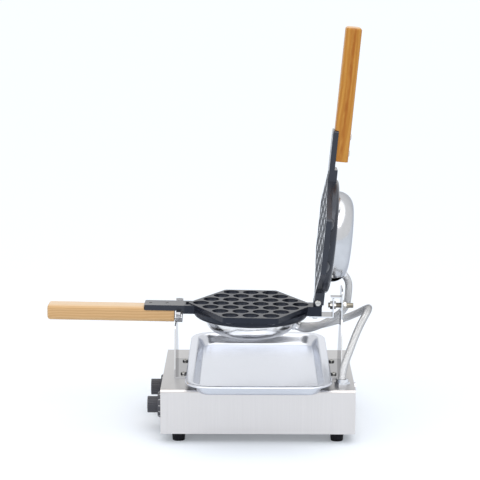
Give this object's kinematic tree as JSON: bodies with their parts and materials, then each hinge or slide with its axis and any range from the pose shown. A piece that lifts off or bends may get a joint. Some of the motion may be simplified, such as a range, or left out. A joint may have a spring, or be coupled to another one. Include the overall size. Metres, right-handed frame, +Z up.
{
  "type": "bubble waffle maker",
  "caption": "Electric bubble waffle maker: two cast pans with ball cells open on a hinge, turn over together on a swivel above a drip tray, and have wooden handles and a steel base with knobs.",
  "frame": {"origin": "on the floor under the middle of the base box, in the plane of the feet", "axes": "+X to the rear where the swivel and the open lid are, -X to the front with the knobs and handles, +Y to the left seen from the front, +Z up"},
  "size_m": [0.5167, 0.35, 0.6332],
  "materials": {
    "brushed_sheet": "fine brushed stainless sheet",
    "polished_sheet": "polished stainless sheet",
    "polished_aluminium": "polished spun aluminium",
    "pan_coating": "satin black non-stick coating on cast aluminium",
    "beech": "turned and lacquered beech",
    "beech_dark": "lacquered beech, warmer",
    "black_rubber": "black rubber",
    "knob_plastic": "charcoal phenolic",
    "dark_plastic": "moulded insulating plastic",
    "white_plastic": "white insulating plastic",
    "lamp_red": "translucent red lens",
    "zinc_steel": "bright zinc-plated steel",
    "nickel": "nickel-plated brass",
    "thread_brass": "dull brass",
    "heater_steel": "oxidised steel sheath",
    "braid": "stainless braid over a flexible hose"
  },
  "bodies": {
    "base": {"base_casing": "brushed_sheet", "front_panel": "brushed_sheet", "rear_panel": "brushed_sheet", "bottom_plate": "brushed_sheet", "rubber_feet": "black_rubber", "foot_screws": "zinc_steel", "bottom_screws": "zinc_steel", "thermostat_body": "dark_plastic", "timer_body": "dark_plastic", "works_nuts": "zinc_steel", "pilot_lamps": "lamp_red", "terminal_block": "white_plastic", "base_gland": "nickel", "base_gland_nut": "zinc_steel", "inlet_gland": "nickel", "front_upright": "polished_sheet", "front_cradle": "polished_sheet", "rear_upright": "polished_sheet", "upright_screws": "zinc_steel", "axle_bush": "thread_brass", "hose_base": "braid"},
    "lower_pan": {"lower_pan": "pan_coating", "lower_handle": "beech", "lower_handle_screws": "zinc_steel", "lower_heater": "heater_steel", "lower_clamps": "polished_sheet", "lower_clamp_screws": "zinc_steel", "lower_cover": "polished_aluminium", "lower_cover_screws": "zinc_steel", "lower_cover_glands": "nickel", "lower_earth_stud": "zinc_steel", "swivel_strap": "polished_sheet", "strap_screws": "zinc_steel", "axle_stud": "thread_brass", "axle_nuts": "zinc_steel", "axle_washer": "zinc_steel", "cradle_runner": "polished_sheet"},
    "lid": {"upper_pan": "pan_coating", "upper_handle": "beech_dark", "upper_handle_screws": "zinc_steel", "upper_heater": "heater_steel", "upper_clamps": "polished_sheet", "upper_clamp_screws": "zinc_steel", "upper_cover": "polished_aluminium", "upper_cover_screws": "zinc_steel", "upper_cover_glands": "nickel", "upper_earth_stud": "zinc_steel", "hinge_pin": "zinc_steel", "hinge_nut": "zinc_steel", "hose_lid": "braid"},
    "thermostat_knob": {"thermostat_knob": "knob_plastic", "thermostat_shaft": "zinc_steel"},
    "timer_knob": {"timer_knob": "knob_plastic", "timer_shaft": "zinc_steel"},
    "drip_tray": {"drip_tray": "polished_sheet"}
  },
  "joints": [
    {"name": "pan_flip", "type": "hinge", "parent": "base", "child": "lower_pan", "pos_m": [-0.0114, 0, 0.1934], "axis": [0.9999, 0, -0.0157], "range_deg": [0, 75], "deforming": ["hose_base"]},
    {"name": "lid_hinge", "type": "hinge", "parent": "lower_pan", "child": "lid", "pos_m": [0.09519, 0, 0.19813], "axis": [0, -1, 0], "range_deg": [0, 94.5], "deforming": ["hose_lid"]},
    {"name": "thermostat_turn", "type": "hinge", "parent": "base", "child": "thermostat_knob", "pos_m": [-0.16, -0.0513, 0.0415], "axis": [-1, 0, 0], "range_deg": [0, 280]},
    {"name": "timer_turn", "type": "hinge", "parent": "base", "child": "timer_knob", "pos_m": [-0.16, 0.0513, 0.0415], "axis": [-1, 0, 0], "range_deg": [0, 300]},
    {"name": "tray_slide", "type": "slide", "parent": "base", "child": "drip_tray", "axis": [0, -1, 0], "range_m": [0, 0.36]}
  ]
}
